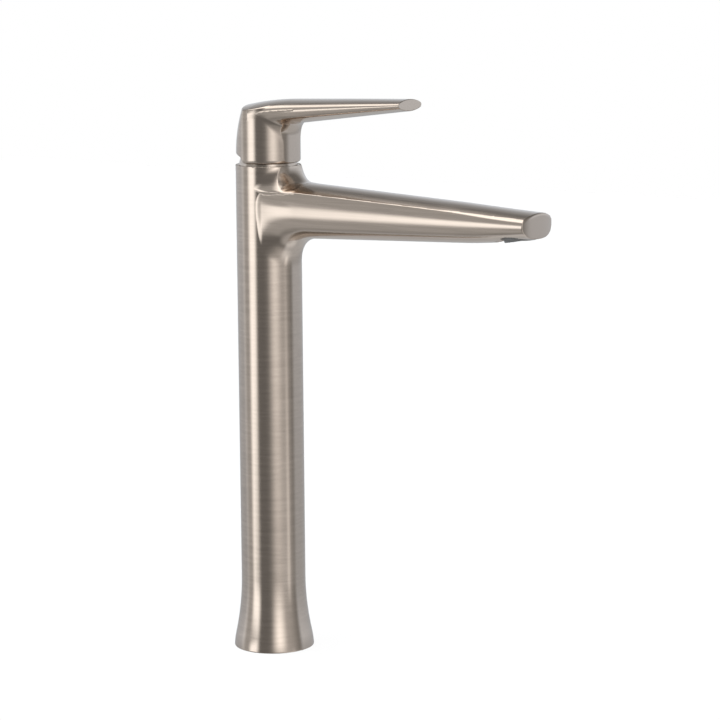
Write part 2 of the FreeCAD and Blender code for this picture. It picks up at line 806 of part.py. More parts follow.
def make_cartridge_base():
    groove_low = FLANGE_TOP + " - ring_groove_height - ring_groove_top"
    groove_high = FLANGE_TOP + " - ring_groove_top"
    base = turned("cartridge_base_form", [
        ("0", BASE_LOW),
        ("housing_radius", BASE_LOW),
        ("housing_radius", groove_low),
        ("housing_radius - ring_groove_depth", groove_low),
        ("housing_radius - ring_groove_depth", groove_high),
        ("housing_radius", groove_high),
        ("housing_radius", FLANGE_TOP),
        ("housing_bore - fit_clearance", FLANGE_TOP),
        ("housing_bore - fit_clearance", DISC_LOW),
        ("0", DISC_LOW),
    ])
    drill(base, "base_ports", port_spots("port_radius"))
    seats = [
        cylinder("seal_seat_%d" % index, "port_seal_radius + fit_clearance",
                 "port_seal_height - seal_stand + overshoot", along, across, BASE_LOW + " - overshoot")
        for index, (along, across, _) in enumerate(port_spots("port_radius"))
    ]
    keep(cut("cartridge_base", base, *seats), "cartridge_base")
    rings = []
    for index, (along, across, _) in enumerate(port_spots("port_radius")):
        rings.append(upright_ring("port_seal_%d" % index, "port_seal_radius", "port_seal_bore",
                                  along, across, FLOOR, "port_seal_height"))
    keep(fuse("port_seals", *rings), "port_seals")
    groove_floor = "(housing_radius - ring_groove_depth)"
    seal = document.addObject("Part::Torus", "housing_seal")
    bind(
        seal,
        Radius1="(pocket_radius + %s) / 2" % groove_floor,
        Radius2="(pocket_radius - %s) / 2 - fit_clearance / 4" % groove_floor,
    )
    place(seal, level=groove_high + " - ring_groove_height / 2")
    keep(seal, "housing_seal")


def make_housing():
    keep(turned("cartridge_housing", [
        ("housing_bore", FLANGE_TOP),
        ("housing_radius", FLANGE_TOP),
        ("housing_radius", HOUSING_SHOULDER),
        ("neck_radius", HOUSING_SHOULDER),
        ("neck_radius", NECK_TOP),
        ("guide_bore", NECK_TOP),
        ("guide_bore", GUIDE_SHOULDER),
        ("housing_bore", GUIDE_SHOULDER),
    ]), "cartridge_housing")


def make_discs():
    fixed = turned("fixed_disc", [
        ("0", DISC_LOW), ("disc_radius", DISC_LOW), ("disc_radius", DISC_MID), ("0", DISC_MID),
    ])
    drill(fixed, "fixed_disc_ports", port_spots("port_radius"))
    keep(fixed, "fixed_disc")
    low = DISC_MID + " + fit_clearance / 2"
    recess = DISC_MID + " + disc_height / 2"
    moving = turned("moving_disc", [
        ("disc_recess_radius", low),
        ("slider_radius", low),
        ("slider_radius", DISC_TOP),
        ("0", DISC_TOP),
        ("0", recess),
        ("disc_recess_radius", recess),
    ])
    place(moving, SLIDER_BACK)
    keep(moving, "moving_disc")
    plate = DISC_TOP + " + carrier_plate"
    bore = "stem_ball_radius + slide_clearance"
    carrier = turned("disc_carrier", [
        (bore, DISC_TOP),
        ("slider_radius", DISC_TOP),
        ("slider_radius", plate),
        ("carrier_boss_radius", plate),
        ("carrier_boss_radius", CARRIER_TOP),
        (bore, CARRIER_TOP),
    ])
    place(carrier, SLIDER_BACK)
    keep(carrier, "disc_carrier")


def cross_pin(name, radius, length):
    """A cylinder along Y, centred on the pivot."""
    item = cylinder(name, radius, length)
    item.Placement.Rotation = FreeCAD.Rotation(FreeCAD.Vector(1, 0, 0), 90)
    return place(item, "0", "(%s) / 2" % length, PIVOT)


def make_stem_group():
    """The collar that turns in the housing, its pin, and the stem that tilts on the pin."""
    collar_radius = "guide_bore - slide_clearance"
    collar = fuse(
        "guide_form",
        cylinder("guide_collar", collar_radius, "%s - %s" % (GUIDE_TOP, GUIDE_LOW), level=GUIDE_LOW),
        cylinder("guide_flange_form", "housing_bore - guide_play", "guide_flange - fit_clearance",
                 level=GUIDE_LOW),
    )
    slot = box("guide_slot", "guide_slot_back + guide_slot_front", "stem_thickness + turn_clearance",
               "2 * neck_height + guide_flange", "-guide_slot_back", "0", GUIDE_LOW + " - overshoot")
    pin_length = "2 * guide_bore - 2 * pin_inset"
    hole = cross_pin("guide_pin_hole", "pin_radius", "4 * guide_bore")
    keep(cut("stem_guide", collar, slot, hole), "stem_guide")
    keep(cross_pin("stem_pin", "pin_radius", pin_length), "stem_pin")
    arm = cylinder("stem_arm_form", "stem_arm_radius", "stem_arm")
    arm.Placement.Rotation = FreeCAD.Rotation(FreeCAD.Vector(0, 1, 0), 180 + size("stem_rest_angle"))
    place(arm, level=PIVOT)
    ball_level = PIVOT + " - stem_arm * cos(stem_rest_angle * 1 deg)"
    ball = sphere("stem_ball", "stem_ball_radius", ball_level, SLIDER_BACK)
    block = box("stem_block_form", "stem_thickness", "stem_thickness", "stem_block + stem_collar",
                "-stem_thickness / 2", "0", PIVOT + " - stem_block")
    square = box("stem_square_form", "stem_square", "stem_square", "stem_top - stem_collar",
                 "-stem_square / 2", "0", PIVOT + " + stem_collar")
    form = fuse("stem_form", arm, ball, block, square)
    hole = cross_pin("stem_pin_hole", "pin_radius + slide_clearance / 2", "2 * stem_thickness")
    keep(cut("control_stem", form, hole), "control_stem")


def make_nut():
    keep(ring("nut_washer", "housing_radius - 2 * fit_clearance", "neck_radius + fit_clearance",
              HOUSING_SHOULDER, "washer_height"), "nut_washer")
    thread = cylinder("nut_thread_form", "nut_thread_radius - fit_clearance / 2",
                      "%s - %s" % (SHELF, NUT_LOW), level=NUT_LOW)
    head = document.addObject("Part::Prism", "nut_head_form")
    head.Polygon = 6
    bind(head, Circumradius="nut_hex / sqrt(3)", Height="nut_head")
    place(head, level=SHELF)
    barrel = cylinder("nut_head_round", "nut_thread_radius - 2 * fit_clearance", "nut_head", level=SHELF)
    head = common("nut_head_chamfered", head, barrel)
    bore = cylinder("nut_bore", "neck_radius + fit_clearance", "pocket_depth", level=NUT_LOW)
    keep(cut("retaining_nut", fuse("nut_form", thread, head), bore), "retaining_nut")


def make_dome_cover():
    band = cylinder("dome_band", "2 * dome_radius", "dome_radius", level=SHELF)
    outside = common("dome_outside", sphere("dome_ball", "dome_radius", PIVOT), band)
    inside = sphere("dome_room", "dome_radius - dome_wall", PIVOT)
    opening = cylinder("dome_hole", "dome_opening", "2 * dome_radius", level=PIVOT)
    keep(cut("dome_cover", outside, inside, opening), "dome_cover")


# ---------------------------------------------------------------- handle fixings

def make_handle_fixings():
    screw = cylinder("screw_body", "screw_radius", "screw_length")
    screw.Placement.Rotation = FreeCAD.Rotation(FreeCAD.Vector(0, 1, 0), 90)
    place(screw, STEM_FACE + " - screw_length", "0", SCREW_AXIS)
    socket = document.addObject("Part::Prism", "screw_socket_form")
    socket.Polygon = 6
    bind(socket, Circumradius="screw_socket", Height="screw_socket_depth + overshoot")
    socket.Placement.Rotation = FreeCAD.Rotation(FreeCAD.Vector(0, 1, 0), 90)
    place(socket, STEM_FACE + " - screw_length - overshoot", "0", SCREW_AXIS)
    keep(cut("grub_screw", screw, socket), "grub_screw")
    plug = cylinder("screw_plug", "plug_radius", "plug_length")
    plug.Placement.Rotation = FreeCAD.Rotation(FreeCAD.Vector(0, 1, 0), 90)
    place(plug, PANEL_BACK + " + 2 * fit_clearance", "0", SCREW_AXIS)
    keep(plug, "screw_plug")


# ---------------------------------------------------------------- outlet

def seat_half(name, low, high):
    """Part of the ball's cage: a ring in the bore with a round seat."""
    height = "(%s) - (%s)" % (high, low)
    solid = cylinder(name + "_solid", "aerator_bore", height, OUTLET_AT, "0", low)
    seat = sphere(name + "_seat", "ball_radius + ball_fit", BALL_CENTRE, OUTLET_AT)
    keep(cut(name, solid, seat), name)


def tilted(item):
    """Stand a piece of the ball on the ball's centre, leaning as the outlet leans."""
    item.Placement.Rotation = FreeCAD.Rotation(FreeCAD.Vector(0, 1, 0), -size("ball_tilt"))
    return place(item, OUTLET_AT, "0", BALL_CENTRE)


def tilted_place(level):
    """A placement at a level along the outlet's leaning axis."""
    lean = FreeCAD.Rotation(FreeCAD.Vector(0, 1, 0), -size("ball_tilt"))
    centre = FreeCAD.Vector(number(OUTLET_AT), 0, number(BALL_CENTRE))
    return FreeCAD.Placement(centre + lean.multVec(FreeCAD.Vector(0, 0, number(level))), lean)


def grid_solid():
    """A round grid of square holes, lying on the XY plane."""
    radius, height = size("ball_bore") - size("fit_clearance") / 2, size("grid_height")
    pitch, bar = size("grid_pitch"), size("grid_bar")
    hole = pitch - bar
    plate = Part.makeCylinder(radius, height)
    reach = int(radius / pitch)
    holes = []
    for across in range(-reach, reach + 1):
        for along in range(-reach, reach + 1):
            corner = math.hypot(abs(across * pitch) + hole / 2, abs(along * pitch) + hole / 2)
            if corner < radius - bar / 2:
                start = FreeCAD.Vector(across * pitch - hole / 2, along * pitch - hole / 2, -height)
                holes.append(Part.makeBox(hole, hole, 3 * height, start))
    return plate.cut(holes)


def make_aerator():
    seal_low = LEDGE + " - aerator_seal_height"
    keep(upright_ring("aerator_seal", "aerator_bore", "throat_radius", OUTLET_AT, "0", seal_low,
                      "aerator_seal_height"), "aerator_seal")
    seat_half("aerator_holder", BALL_CENTRE + " + ring_split / 2", seal_low)
    seat_half("aerator_ring", TIP_RIM + " + ring_recess", BALL_CENTRE + " - ring_split / 2")
    ball = sphere("ball_form", "ball_radius", "0")
    slab = cylinder("ball_slab", "2 * ball_radius", "ball_face_drop + ball_top_rise", level="-ball_face_drop")
    bore = cylinder("ball_bore_form", "ball_bore", "4 * ball_radius", level="-2 * ball_radius")
    keep(tilted(cut("aerator_ball", common("ball_slice", ball, slab), bore)), "aerator_ball")
    grid = shaped("stream_grid", grid_solid())
    grid.Placement = tilted_place("grid_inset - ball_face_drop")
    keep(grid, "stream_grid")
    screen = turned("inlet_screen", [
        ("0", "0"),
        ("ball_bore - fit_clearance / 2", "0"),
        ("ball_bore - fit_clearance / 2", "screen_height"),
        ("0", "screen_height"),
    ])
    holes = circles(screen, "screen_spots", [("screen_hole_ring", "0", "screen_hole_radius")])
    pocket = screen.newObject("PartDesign::Pocket", "screen_hole")
    pocket.Profile = holes
    pocket.Type = "ThroughAll"
    pocket.Midplane = True
    spread = screen.newObject("PartDesign::PolarPattern", "screen_holes")
    spread.Originals = [pocket]
    spread.Axis = (holes, ["N_Axis"])
    spread.Angle = 360.0
    spread.Occurrences = int(size("screen_hole_count"))
    screen.Tip = spread
    screen.Placement = tilted_place("ball_top_rise - screen_height - fit_clearance")
    keep(screen, "inlet_screen")


# ---------------------------------------------------------------- build and export

def check_and_export():
    document.recompute()
    for item in document.Objects:
        if "Invalid" in item.State or "Error" in item.State:
            raise RuntimeError("%s failed: %s" % (item.Name, item.State))
    os.makedirs("parts", exist_ok=True)
    for item in PARTS:
        if item.Shape.isNull() or not item.Shape.isValid():
            raise RuntimeError("%s has no valid shape" % item.Label)
    for item in PARTS:
        item.Shape.exportStep("parts/%s.step" % item.Label)
        print("%-20s %d solid(s) %10.1f mm3" % (item.Label, len(item.Shape.Solids), item.Shape.Volume))


make_body_shell()
make_lever_handle()
make_foot()
make_cartridge_base()
make_housing()
make_discs()
make_stem_group()
make_nut()
make_dome_cover()
make_handle_fixings()
make_aerator()
check_and_export()
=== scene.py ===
import json
import math

import bpy
import numpy as np
from mathutils import Matrix, Vector


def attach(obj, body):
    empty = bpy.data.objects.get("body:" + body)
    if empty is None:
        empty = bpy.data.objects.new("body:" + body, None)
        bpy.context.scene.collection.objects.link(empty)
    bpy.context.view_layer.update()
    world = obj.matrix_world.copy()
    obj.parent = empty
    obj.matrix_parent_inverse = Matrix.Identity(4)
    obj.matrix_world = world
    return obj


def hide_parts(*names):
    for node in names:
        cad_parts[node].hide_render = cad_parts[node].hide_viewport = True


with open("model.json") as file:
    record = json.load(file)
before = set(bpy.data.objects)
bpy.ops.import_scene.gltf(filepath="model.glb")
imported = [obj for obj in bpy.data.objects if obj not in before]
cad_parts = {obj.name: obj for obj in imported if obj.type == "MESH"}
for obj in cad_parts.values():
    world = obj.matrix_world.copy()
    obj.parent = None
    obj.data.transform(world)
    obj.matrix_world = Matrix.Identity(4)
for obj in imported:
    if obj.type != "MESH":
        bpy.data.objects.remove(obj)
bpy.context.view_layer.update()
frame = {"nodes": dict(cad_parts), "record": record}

# The camera's place in metres, its turn in radians, and its lens, for a square picture.
CAMERA_PLACE = Vector((0.9539, -1.2659, 0.4481))
CAMERA_AZIMUTH = 0.61087
CAMERA_PITCH = 0.1671
CAMERA_ROLL = -0.0074
CAMERA_LENS = 129.56
CAMERA_SENSOR = 36.0
CAMERA_SIGHT = 20.0


def make_camera():
    """A long lens a little above the spout, as in the photograph."""
    ahead = Vector((
        -math.sin(CAMERA_AZIMUTH) * math.cos(CAMERA_PITCH),
        math.cos(CAMERA_AZIMUTH) * math.cos(CAMERA_PITCH),
        -math.sin(CAMERA_PITCH),
    ))
    right = Vector((math.cos(CAMERA_AZIMUTH), math.sin(CAMERA_AZIMUTH), 0.0))
    up = right.cross(ahead)
    side = right * math.cos(CAMERA_ROLL) + up * math.sin(CAMERA_ROLL)
    top = up * math.cos(CAMERA_ROLL) - right * math.sin(CAMERA_ROLL)
    data = bpy.data.cameras.new("camera")
    data.lens = CAMERA_LENS
    data.sensor_width = CAMERA_SENSOR
    data.clip_end = CAMERA_SIGHT
    item = bpy.data.objects.new("camera", data)
    item.matrix_world = Matrix((
        (side.x, top.x, -ahead.x, CAMERA_PLACE.x),
        (side.y, top.y, -ahead.y, CAMERA_PLACE.y),
        (side.z, top.z, -ahead.z, CAMERA_PLACE.z),
        (0.0, 0.0, 0.0, 1.0),
    ))
    bpy.context.scene.collection.objects.link(item)
    bpy.context.scene.camera = item


# ---------------------------------------------------------------- node helpers

class Graph:
    """Builds a node tree in short steps."""

    def __init__(self, tree):
        self.tree = tree
        tree.nodes.clear()

    def put(self, socket, value):
        """Link a socket to the value, or set the value on it."""
        if isinstance(value, bpy.types.NodeSocket):
            self.tree.links.new(value, socket)
        else:
            socket.default_value = value

    def node(self, kind, inputs=(), **settings):
        item = self.tree.nodes.new(kind)
        for key, value in settings.items():
            setattr(item, key, value)
        for name, value in dict(inputs).items():
            self.put(item.inputs[name], value)
        return item

    def math(self, operation, *values):
        return self.node("ShaderNodeMath", dict(enumerate(values)), operation=operation).outputs[0]

    def vector(self, *parts):
        return self.node("ShaderNodeCombineXYZ", dict(enumerate(parts))).outputs[0]

    def mix(self, factor, low, high, blend="MIX"):
        """A colour between two colours, or their sum."""
        item = self.node("ShaderNodeMix", data_type="RGBA", blend_type=blend)
        for index, value in ((0, factor), (6, low), (7, high)):
            self.put(item.inputs[index], value)
        return item.outputs[2]

    def blend(self, factor, low, high):
        """A number between two numbers."""
        item = self.node("ShaderNodeMix", data_type="FLOAT")
        for index, value in ((0, factor), (2, low), (3, high)):
            self.put(item.inputs[index], value)
        return item.outputs[0]

    def fit(self, value, low, high, to_low=0.0, to_high=1.0):
        """A smooth step from one range to another."""
        return self.node("ShaderNodeMapRange", {
            "Value": value, "From Min": low, "From Max": high, "To Min": to_low, "To Max": to_high,
        }, interpolation_type="SMOOTHSTEP").outputs[0]


# ---------------------------------------------------------------- studio

WHITE = (1.0, 1.0, 1.0, 1.0)
BLACK = (0.0, 0.0, 0.0, 1.0)

# Panels of light round the object. Degrees: turn from the camera's side (right is positive), height,
# half spread across and up, softness across and up, and how much the height falls off to the left.
# Then the level and the colour.
PANELS = (
    (-62.6, -6, 13.5, 8.5, 8, 6, 0.3, 1.45, (1.0, 1.02, 1.04)),
    (-78, 5, 28, 60, 9, 12, 0.0, 0.35, (0.95, 0.98, 1.0)),
    (173, 6, 87, 17, 8, 21, 0.0, 0.8, (0.86, 0.94, 1.04)),
    (143, -50, 108, 30, 12, 12, 0.0, 0.46, (0.92, 0.98, 1.04)),
    (35, 0, 32, 50, 28, 15, 0.0, 0.42, (1.0, 1.0, 1.0)),
    (16, 12, 14, 19, 14, 15, 0.0, 1.39, (1.0, 1.0, 1.0)),
    (58, -20, 5, 10, 6, 6, 0.0, 0.6, (1.0, 1.0, 1.0)),
    (-72, 69, 98, 23, 15, 8, 0.0, 1.8, (1.0, 1.0, 1.0)),
    (0, -80, 180, 15, 5, 12, 0.0, 0.39, (0.97, 1.0, 1.03)),
)
DEGREES = 180 / math.pi

# The share of plain white in what the metal mirrors. The panels make up the rest.
METAL_SHARE = 0.175


def make_world():
    """A white studio: the metal mirrors soft panels round it, and the camera sees plain white."""
    world = bpy.data.worlds.new("studio")
    world.use_nodes = True
    graph = Graph(world.node_tree)
    spot = graph.node("ShaderNodeTexCoord").outputs["Generated"]
    turn = math.atan2(CAMERA_PLACE.y, CAMERA_PLACE.x)
    turned = graph.node("ShaderNodeVectorRotate", {"Vector": spot, "Angle": -turn},
                        rotation_type="Z_AXIS").outputs[0]
    parts = graph.node("ShaderNodeSeparateXYZ", {0: turned}).outputs
    side = graph.math("MULTIPLY", graph.math("ARCTAN2", parts[1], parts[0]), DEGREES)
    height = graph.math("MULTIPLY", graph.math("ARCSINE", parts[2]), DEGREES)
    total = BLACK
    for azimuth, rise, spread, tall, soft, soft_up, lean, level, colour in PANELS:
        offset = graph.math("WRAP", graph.math("SUBTRACT", side, float(azimuth)), 180.0, -180.0)
        wide = graph.fit(graph.math("ABSOLUTE", offset), spread + soft, spread - soft)
        middle = graph.math("ADD", graph.math("MULTIPLY", offset, lean), float(rise))
        drop = graph.math("ABSOLUTE", graph.math("SUBTRACT", height, middle))
        high = graph.fit(drop, tall + soft_up, tall - soft_up)
        share = graph.math("MULTIPLY", wide, high)
        tint = [level * part for part in colour] + [1.0]
        lit = graph.mix(share, BLACK, tint)
        total = graph.mix(1.0, total, lit, "ADD")
    path = graph.node("ShaderNodeLightPath").outputs
    studio = graph.node("ShaderNodeBackground", {"Color": total, "Strength": 1.0}).outputs[0]
    plain = graph.node("ShaderNodeBackground", {"Color": WHITE, "Strength": 1.0}).outputs[0]
    mirrored = graph.math("MULTIPLY", path["Is Glossy Ray"], METAL_SHARE)
    direct = graph.math("MAXIMUM", path["Is Camera Ray"], path["Is Transmission Ray"])
    seen = graph.math("MAXIMUM", direct, mirrored)
    shader = graph.node("ShaderNodeMixShader", {0: seen, 1: studio, 2: plain}).outputs[0]
    graph.node("ShaderNodeOutputWorld", {"Surface": shader})
    bpy.context.scene.world = world


# The floor's half width and level in metres, and its two tones.
FLOOR_HALF = 2.5
FLOOR_LEVEL = -0.0002
FLOOR_DARK = (0.93, 0.93, 0.93, 1.0)
FLOOR_LIGHT = (0.95, 0.95, 0.95, 1.0)

# How much of the floor is matt white, which the object shades, and how much plain white is added to it.
# The rest of the floor is clear.
FLOOR_SHARE = 0.16
FLOOR_SHINE = 0.085


def make_floor():
    """A white floor that keeps only the object's faint shadow, and that only the camera sees."""
    mesh = bpy.data.meshes.new("floor")
    corners = ((-1, -1), (1, -1), (1, 1), (-1, 1))
    points = [(x * FLOOR_HALF, y * FLOOR_HALF, FLOOR_LEVEL) for x, y in corners]
    mesh.from_pydata(points, [], [(0, 1, 2, 3)])
    floor = bpy.data.objects.new("floor", mesh)
    bpy.context.scene.collection.objects.link(floor)
    material = bpy.data.materials.new("floor")
    material.use_nodes = True
    graph = Graph(material.node_tree)
    noise = graph.node("ShaderNodeTexNoise", {"Scale": 3.0}).outputs[0]
    tone = graph.mix(noise, FLOOR_DARK, FLOOR_LIGHT)
    path = graph.node("ShaderNodeLightPath").outputs
    matt = graph.node("ShaderNodeBsdfDiffuse", {"Color": tone}).outputs[0]
    clear = graph.node("ShaderNodeBsdfTransparent").outputs[0]
    shade = graph.node("ShaderNodeMixShader", {0: FLOOR_SHARE, 1: clear, 2: matt}).outputs[0]
    shine = graph.node("ShaderNodeEmission", {"Color": WHITE, "Strength": FLOOR_SHINE}).outputs[0]
    white = graph.node("ShaderNodeAddShader", {0: shade, 1: shine}).outputs[0]
    shader = graph.node("ShaderNodeMixShader", {0: path["Is Camera Ray"], 1: clear, 2: white}).outputs[0]
    graph.node("ShaderNodeOutputMaterial", {"Surface": shader})
    mesh.materials.append(material)


# ---------------------------------------------------------------- materials

NICKEL = (0.66, 0.565, 0.485)
NICKEL_ROUGH = 0.16

# The part of a noise's range that carries its contrast, and a wider part for the lines' roughness.
NOISE_RANGE = (0.3, 0.7)
ROUGH_RANGE = (0.25, 0.75)

# How fine the brushed lines are, along and across themselves, per radian round the axis or per metre, and
# how much they vary the metal. The power tells how near an end face they last.
ROUND_ALONG = 0.8
ROUND_ACROSS = 420.0
LONG_ALONG = 12.0
LONG_ACROSS = 600.0
LINE_LIGHT = 1.06
LINE_DARK = 0.93
LINE_ROUGH = 0.03
LINE_DEPTH = 0.00001
END_POWER = 6.0
CLOUD_SCALE = 45.0
CLOUD_ROUGH = 0.01

# The brush stretches the reflections. Its direction along a limb leans, so that end faces have one as well.
BRUSH_STRETCH = 0.4
BRUSH_TURN = 0.25
LONG_DIRECTION = (1.0, 0.0, 0.06)

# The painted shade in the groove under the handle: its colour, how near two faces have to be to hold it, and
# how open to the light a point is where the painted shade is darkest and where it ends.
PAINTED_SHADE = (0.05, 0.045, 0.04, 1.0)
PAINTED_SHADE_REACH = 0.004
PAINTED_SHADE_RANGE = (0.05, 0.6)

# The grain of the moulded, turned and lapped materials.
GRAIN_SCALE = 900.0
GRAIN_TONE = 0.08
GRAIN_GLOSS = 0.1
GRAIN_DEPTH = 0.00002


def brushed(name, bend_start=None, bend_end=None, shade_in_gaps=False):
    """Warm nickel with fine brushed lines: round the upright axis, and along X past the bend."""
    material = bpy.data.materials.new(name)
    material.use_nodes = True
    graph = Graph(material.node_tree)
    spot = graph.node("ShaderNodeTexCoord").outputs["Object"]
    x, y, z = graph.node("ShaderNodeSeparateXYZ", {0: spot}).outputs
    turn = graph.math("ARCTAN2", y, x)
    round_spot = graph.vector(graph.math("MULTIPLY", turn, ROUND_ALONG), 0.0,
                              graph.math("MULTIPLY", z, ROUND_ACROSS))
    long_spot = graph.vector(graph.math("MULTIPLY", x, LONG_ALONG),
                             graph.math("MULTIPLY", y, LONG_ACROSS),
                             graph.math("MULTIPLY", z, LONG_ACROSS))
    along = 0.0 if bend_start is None else graph.fit(x, bend_start, bend_end)
    lines = []
    for place in (round_spot, long_spot):
        lines.append(graph.node("ShaderNodeTexNoise", {
            "Vector": place, "Scale": 1.0, "Detail": 4.0, "Roughness": 0.75}).outputs[0])
    line = graph.blend(along, lines[0], lines[1])
    cloud = graph.node("ShaderNodeTexNoise", {"Vector": spot, "Scale": CLOUD_SCALE, "Detail": 2.0}).outputs[0]
    # End faces are cut across the lines, so the lines fade out there.
    normal = graph.node("ShaderNodeNewGeometry").outputs["Normal"]
    facing = graph.node("ShaderNodeSeparateXYZ", {0: normal}).outputs[0]
    sideways = graph.math("SUBTRACT", 1.0, graph.math("POWER", graph.math("ABSOLUTE", facing), END_POWER))
    kept = graph.math("MAXIMUM", sideways, graph.math("SUBTRACT", 1.0, along))
    line = graph.blend(kept, 0.5, line)
    light = [part * LINE_LIGHT for part in NICKEL] + [1.0]
    dark = [part * LINE_DARK for part in NICKEL] + [1.0]
    colour = graph.mix(graph.fit(line, *NOISE_RANGE), dark, light)
    # Painted shade: the colour darkens towards near-black where ambient occlusion finds faces close together.
    if shade_in_gaps:
        open_share = graph.node("ShaderNodeAmbientOcclusion", {"Distance": PAINTED_SHADE_REACH}).outputs["AO"]
        colour = graph.mix(graph.fit(open_share, *PAINTED_SHADE_RANGE), PAINTED_SHADE, colour)
    rough = graph.math("ADD",
                       graph.fit(line, *ROUGH_RANGE, NICKEL_ROUGH - LINE_ROUGH, NICKEL_ROUGH + LINE_ROUGH),
                       graph.fit(cloud, *NOISE_RANGE, -CLOUD_ROUGH, CLOUD_ROUGH))
    bump = graph.node("ShaderNodeBump", {
        "Strength": 0.25, "Distance": LINE_DEPTH, "Height": line}).outputs[0]
    tangent = graph.node("ShaderNodeMix", data_type="VECTOR")
    graph.put(tangent.inputs[0], along)
    graph.put(tangent.inputs[4], graph.vector(graph.math("MULTIPLY", y, -1.0), x, 0.0))
    graph.put(tangent.inputs[5], LONG_DIRECTION)
    direction = graph.node("ShaderNodeVectorMath", {0: tangent.outputs[1]}, operation="NORMALIZE").outputs[0]
    shader = graph.node("ShaderNodeBsdfPrincipled", {
        "Base Color": colour, "Metallic": 1.0, "Roughness": rough,
        "Anisotropic": BRUSH_STRETCH, "Anisotropic Rotation": BRUSH_TURN,
        "Normal": bump, "Tangent": direction})
    graph.node("ShaderNodeOutputMaterial", {"Surface": shader.outputs[0]})
    return material


def solid(name, colour, rough, metallic=0.0):
    """A moulded, turned or lapped material with a fine grain."""
    material = bpy.data.materials.new(name)
    material.use_nodes = True
    graph = Graph(material.node_tree)
    spot = graph.node("ShaderNodeTexCoord").outputs["Object"]
    noise = graph.node("ShaderNodeTexNoise", {"Vector": spot, "Scale": GRAIN_SCALE, "Detail": 3.0}).outputs[0]
    low = [part * (1.0 - GRAIN_TONE) for part in colour] + [1.0]
    high = [min(1.0, part * (1.0 + GRAIN_TONE)) for part in colour] + [1.0]
    tone = graph.mix(graph.fit(noise, *NOISE_RANGE), low, high)
    gloss = graph.fit(noise, *NOISE_RANGE, rough * (1.0 - GRAIN_GLOSS), rough * (1.0 + GRAIN_GLOSS))
    bump = graph.node("ShaderNodeBump", {
        "Strength": 0.3, "Distance": GRAIN_DEPTH, "Height": noise}).outputs[0]
    shader = graph.node("ShaderNodeBsdfPrincipled", {
        "Base Color": tone, "Metallic": metallic, "Roughness": gloss, "Normal": bump})
    graph.node("ShaderNodeOutputMaterial", {"Surface": shader.outputs[0]})
    return material


def dress(materials):
    """Give every CAD node the material of its slot."""
    for row in frame["record"]["subparts"]:
        item = frame["nodes"][row["node"]]
        for slot in item.material_slots:
            slot.material = materials[row["material_slot"]]


# ---------------------------------------------------------------- forms
# A form is a distance in millimetres, in the CAD's frame, and below nought inside the metal.

# The rounding of the edge where a tool cuts, and a small number that takes the place of nought.
TOOL_EDGE = 0.25
SMALL = 1e-4


def round_max(one, two, edge):
    """Both of two forms, with a rounded edge between them."""
    near = np.maximum(edge - np.abs(one - two), 0.0)
    return np.maximum(one, two) + near * near / (4.0 * edge)


def without(form, tool, edge=TOOL_EDGE):
    """A form with a tool cut out of it."""
    return round_max(form, -tool, edge)


def join(one, two, slope, reach):
    """Two forms joined by a blend, wider where their faces meet more squarely."""
    reach = np.maximum(reach * (1.0 - slope), SMALL)
    near = np.maximum(reach - np.abs(one - two), 0.0) / reach
    return np.minimum(one, two) - near * near * reach / 4.0


def ease(share):
    """A smooth step from nought to one."""
    share = np.clip(share, 0.0, 1.0)
    return share * share * (3.0 - 2.0 * share)


def hollow_corner(across, along, radius):
    """How deep a point lies in a space between two faces whose inner corner is rounded."""
    corner = radius - np.hypot(np.maximum(radius - across, 0.0), np.maximum(radius - along, 0.0))
    both = (across < radius) & (along < radius)
    return np.where(both, corner, np.minimum(across, along))


def limb(y, z, half_width, girth, rise, drop, power):
    """A limb's section, round above its widest line and squarer below, and how far it faces sideways."""
    up = z > girth
    tall = np.where(up, rise, drop)
    power = np.where(up, 2.0, power)
    across = np.maximum(np.abs(y) / half_width, SMALL)
    level = np.maximum(np.abs(z - girth) / tall, SMALL)
    size = (across ** power + level ** power) ** (1.0 / power)
    slope_y = (across / size) ** (power - 1.0) / half_width
    slope_z = (level / size) ** (power - 1.0) / tall
    steep = np.hypot(slope_y, slope_z)
    return (size - 1.0) / steep, slope_y / steep


# ---------------------------------------------------------------- the column and its foot

COLUMN_RADIUS = 20.0
COLUMN_TOP = 303.0
COLUMN_BORE = 16.0
BORE_TOP = 258.0
FOOT_RADIUS = 25.0
FOOT_EDGE = 0.6
FLARE_TOP = 45.0
FLARE_UPPER = 175.0
FLARE_LOWER = 60.0

# The groove for the seal, in the foot's underside.
GROOVE_OUTER = 23.1
GROOVE_INNER = 18.9
GROOVE_TOP = 1.9


def flare_arcs():
    """The centre of the flare's lower arc, as radius and height, and the level where the arcs meet."""
    across, down = FOOT_RADIUS - COLUMN_RADIUS - FLARE_UPPER, -FLARE_TOP
    reach = FLARE_UPPER + FLARE_LOWER
    gap = math.hypot(across, down)
    along = (reach ** 2 - FLARE_LOWER ** 2 + gap ** 2) / (2 * gap)
    aside = math.sqrt(reach ** 2 - along ** 2)
    centre = (COLUMN_RADIUS + FLARE_UPPER + (along * across + aside * down) / gap,
              FLARE_TOP + (along * down - aside * across) / gap)
    meeting = FLARE_TOP + (centre[1] - FLARE_TOP) * FLARE_UPPER / reach
    return centre, meeting


def column_radius(z):
    """The column's radius at each level: round arcs in the flare, and straight above it."""
    centre, meeting = flare_arcs()
    upper = COLUMN_RADIUS + FLARE_UPPER - np.sqrt(np.maximum(FLARE_UPPER ** 2 - (z - FLARE_TOP) ** 2, 1.0))
    lower = centre[0] + np.sqrt(np.maximum(FLARE_LOWER ** 2 - (z - centre[1]) ** 2, 1.0))
    return np.where(z > FLARE_TOP, COLUMN_RADIUS, np.where(z > meeting, upper, lower))


def column_field(x, y, z):
    """The column and foot alone."""
    out = np.hypot(x, y)
    form = round_max(out - column_radius(z), -z, FOOT_EDGE)
    form = without(form, np.maximum(out - COLUMN_BORE, z - BORE_TOP))
    groove = np.maximum(np.maximum(out - GROOVE_OUTER, GROOVE_INNER - out), z - GROOVE_TOP)
    return without(form, groove)


